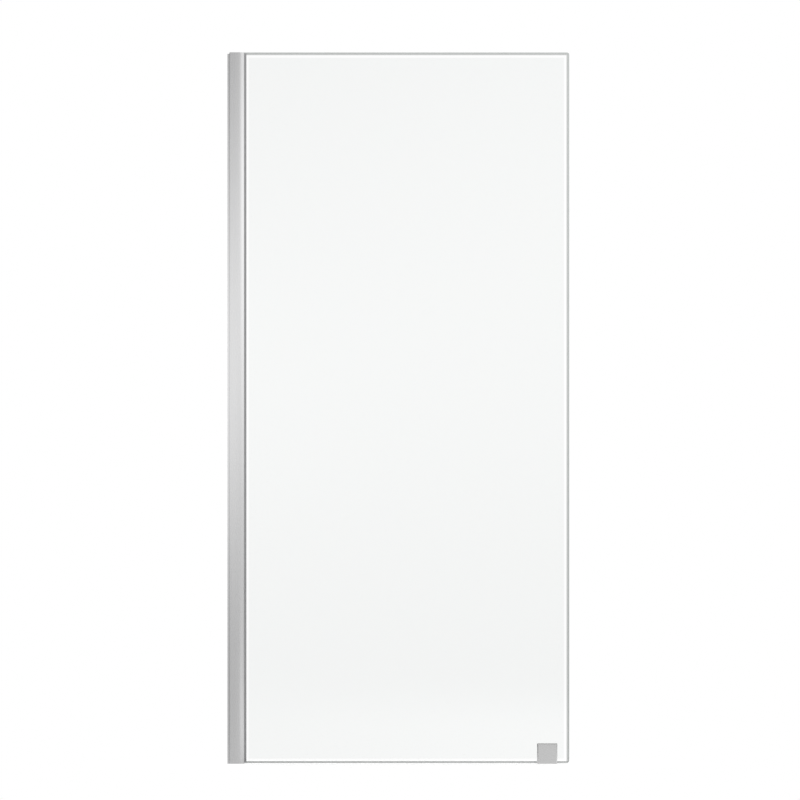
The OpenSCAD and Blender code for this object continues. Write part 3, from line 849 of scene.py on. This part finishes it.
# Floor, surroundings and lamps
# A pale floor that keeps the soft shadow under the panel and fades to the white of the studio around it.
# Camera, glossy and transmitted rays see that white.
floor_radius = 14
floor_drop = 0.1 * mm
floor_x = (cad_low.x + cad_high.x) / 2
round_sides = 96
shadow_reach = 0.1
shadow_end = 0.4
paper_white = (1, 1, 1, 1)
ambient_light = 0.7
bpy.ops.object.select_all(action="DESELECT")
bpy.ops.mesh.primitive_circle_add(vertices=round_sides, radius=floor_radius, fill_type="NGON",
                                  location=(0, 0, -floor_drop))
floor = bpy.context.object
floor.name = "floor"
floor_paint = bpy.data.materials.new("floor_paint")
floor_paint.use_nodes = True
tree = floor_paint.node_tree
tree.nodes.clear()


def sees_white(tree):
    """1 for camera, glossy and transmitted rays, which see the white of the studio."""
    path = add_node(tree, "ShaderNodeLightPath").outputs
    seen = add_node(tree, "ShaderNodeMath", _0=path["Is Camera Ray"], _1=path["Is Glossy Ray"])
    seen_all = add_node(tree, "ShaderNodeMath", _0=seen.outputs[0], _1=path["Is Transmission Ray"])
    seen_all.use_clamp = True
    return seen_all.outputs[0]


place = add_node(tree, "ShaderNodeTexCoord").outputs["Object"]
axes = add_node(tree, "ShaderNodeSeparateXYZ", Vector=place)
sideways = add_node(tree, "ShaderNodeMath", _0=axes.outputs["X"], _1=floor_x)
sideways.operation = "SUBTRACT"
sideways_size = add_node(tree, "ShaderNodeMath", _0=sideways.outputs[0])
sideways_size.operation = "ABSOLUTE"
past_end = add_node(tree, "ShaderNodeMath", _0=sideways_size.outputs[0], _1=floor_x)
past_end.operation = "SUBTRACT"
past = add_node(tree, "ShaderNodeMath", _0=past_end.outputs[0], _1=0.0)
past.operation = "MAXIMUM"
beside = add_node(tree, "ShaderNodeCombineXYZ", X=past.outputs[0], Y=axes.outputs["Y"])
distance = add_node(tree, "ShaderNodeVectorMath", _0=beside.outputs["Vector"])
distance.operation = "LENGTH"
fade = add_node(tree, "ShaderNodeMapRange", Value=distance.outputs["Value"], From_Min=shadow_reach,
                From_Max=shadow_end)
fade.interpolation_type = "SMOOTHSTEP"
plain_floor = add_node(tree, "ShaderNodeBsdfDiffuse", Color=(0.8, 0.8, 0.8, 1))
shadow_floor = add_node(tree, "ShaderNodeBsdfDiffuse", Color=(0.7, 0.7, 0.7, 1))
glow_floor = add_node(tree, "ShaderNodeEmission", Color=paper_white, Strength=0.5)
white_floor = add_node(tree, "ShaderNodeEmission", Color=paper_white, Strength=1)
lit_floor = add_node(tree, "ShaderNodeAddShader", _0=shadow_floor.outputs[0], _1=glow_floor.outputs[0])
seen_floor = add_node(tree, "ShaderNodeMixShader", _0=fade.outputs["Result"], _1=lit_floor.outputs[0],
                      _2=white_floor.outputs[0])
mixed = add_node(tree, "ShaderNodeMixShader", _0=sees_white(tree), _1=plain_floor.outputs[0],
                 _2=seen_floor.outputs[0])
underside = add_node(tree, "ShaderNodeNewGeometry").outputs["Backfacing"]
nothing = add_node(tree, "ShaderNodeBsdfTransparent")
whole = add_node(tree, "ShaderNodeMixShader", _0=underside, _1=mixed.outputs[0], _2=nothing.outputs[0])
add_node(tree, "ShaderNodeOutputMaterial", Surface=whole.outputs[0])
floor.data.materials.append(floor_paint)

world = bpy.data.worlds.new("studio")
bpy.context.scene.world = world
world.use_nodes = True
tree = world.node_tree
tree.nodes.clear()
ambient = add_node(tree, "ShaderNodeBackground", Color=paper_white, Strength=ambient_light)
white = add_node(tree, "ShaderNodeBackground", Color=paper_white, Strength=1)
mixed = add_node(tree, "ShaderNodeMixShader", _0=sees_white(tree), _1=ambient.outputs[0],
                 _2=white.outputs[0])
add_node(tree, "ShaderNodeOutputWorld", Surface=mixed.outputs[0])

# The tent of white cloth round the panel, which only the metal and the glass mirror. Its patchy glow is
# painted reflection.
tent_r = 2.4
tent_height = 3.2
tent_drop = 0.05 * mm
tent_base_glow = 0.29
bpy.ops.object.select_all(action="DESELECT")
bpy.ops.mesh.primitive_cylinder_add(vertices=round_sides, radius=tent_r, depth=tent_height,
                                    end_fill_type="NGON",
                                    location=(floor_x, 0, tent_height / 2 - tent_drop))
bpy.ops.object.transform_apply(location=True, rotation=True, scale=True)
tent = bpy.context.object
tent.name = "tent"
tent.visible_camera = False
tent.visible_diffuse = False
tent.visible_transmission = False
tent.visible_shadow = False
tent_cloth = bpy.data.materials.new("tent_cloth")
tent_cloth.use_nodes = True
tree = tent_cloth.node_tree
tree.nodes.clear()
place = add_node(tree, "ShaderNodeTexCoord").outputs["Object"]


def painted_glow_patch(x, z, reach_x, reach_z, strength):
    """The painted glow of one patch of the cloth, brightest at its middle, which falls off softly."""
    from_middle = add_node(tree, "ShaderNodeVectorMath", _0=place, _1=(x, 0, z))
    from_middle.operation = "SUBTRACT"
    in_reaches = add_node(tree, "ShaderNodeVectorMath", _0=from_middle.outputs[0],
                          _1=(1 / reach_x, 0, 1 / reach_z))
    in_reaches.operation = "MULTIPLY"
    square = add_node(tree, "ShaderNodeVectorMath", _0=in_reaches.outputs[0], _1=in_reaches.outputs[0])
    square.operation = "DOT_PRODUCT"
    fall = add_node(tree, "ShaderNodeMath", _0=math.exp(-1), _1=square.outputs["Value"])
    fall.operation = "POWER"
    patch = add_node(tree, "ShaderNodeMath", _0=fall.outputs[0], _1=strength)
    patch.operation = "MULTIPLY"
    return patch.outputs[0]


# Six patches of painted glow on the cloth stand in for lamps behind it. The nose of the profile mirrors the
# high one at the right.
left_patch = painted_glow_patch(-0.8, 1.0, 1.35, 0.6, 0.87)
far_left_patch = painted_glow_patch(-1.9, 1.05, 0.6, 0.45, 0.3)
right_patch = painted_glow_patch(2.2, 1.45, 2.25, 0.95, 1.18)
high_patch = painted_glow_patch(2.0, 1.65, 0.5, 0.25, 0.25)
foot_patch = painted_glow_patch(1.15, 0, 1.18, 0.1, 1.02)
roof_patch = painted_glow_patch(floor_x, tent_height, 2.2, 0.15, 0.7)
# The cloth's glow is painted reflection: a base glow plus the painted patches.
painted_cloth_glow = tent_base_glow
for patch in (left_patch, far_left_patch, right_patch, high_patch, foot_patch, roof_patch):
    painted_cloth_glow = add_node(tree, "ShaderNodeMath", _0=painted_cloth_glow, _1=patch).outputs[0]
glow = add_node(tree, "ShaderNodeEmission", Color=paper_white, Strength=painted_cloth_glow)
add_node(tree, "ShaderNodeOutputMaterial", Surface=glow.outputs[0])
tent.data.materials.append(tent_cloth)


lamp_power = 19


def softbox(name, place, target, side):
    """A soft square lamp, which nothing mirrors."""
    lamp = bpy.data.lights.new(name, "AREA")
    lamp.shape = "RECTANGLE"
    lamp.size = side
    lamp.size_y = side
    lamp.energy = lamp_power
    holder = bpy.data.objects.new(name, lamp)
    bpy.context.scene.collection.objects.link(holder)
    holder.location = place
    holder.rotation_euler = (Vector(target) - Vector(place)).to_track_quat("-Z", "Y").to_euler()
    holder.visible_camera = False
    holder.visible_transmission = False
    holder.visible_glossy = False


softbox("key_softbox", place=(1.5, -2.1, 2.5), target=(0.3, 0, 1.2), side=1)
softbox("fill_softbox", place=(-1.5, 2.1, 2.5), target=(0.4, 0, 1), side=1.2)

photo_pixels = 800
pixel_size = 2.672 * mm
view_width = photo_pixels * pixel_size
view_x = 0.4608
view_z = 0.9714
camera_distance = 24
sensor_width = 36
camera = bpy.data.objects.new("camera", bpy.data.cameras.new("camera"))
bpy.context.scene.collection.objects.link(camera)
bpy.context.scene.camera = camera
camera.location = (view_x, -camera_distance, view_z)
camera.rotation_euler = (math.radians(90), 0, 0)
camera.data.sensor_width = sensor_width
camera.data.lens = sensor_width * camera_distance / view_width
camera.data.clip_end = 100

bpy.context.scene.view_settings.view_transform = "Standard"
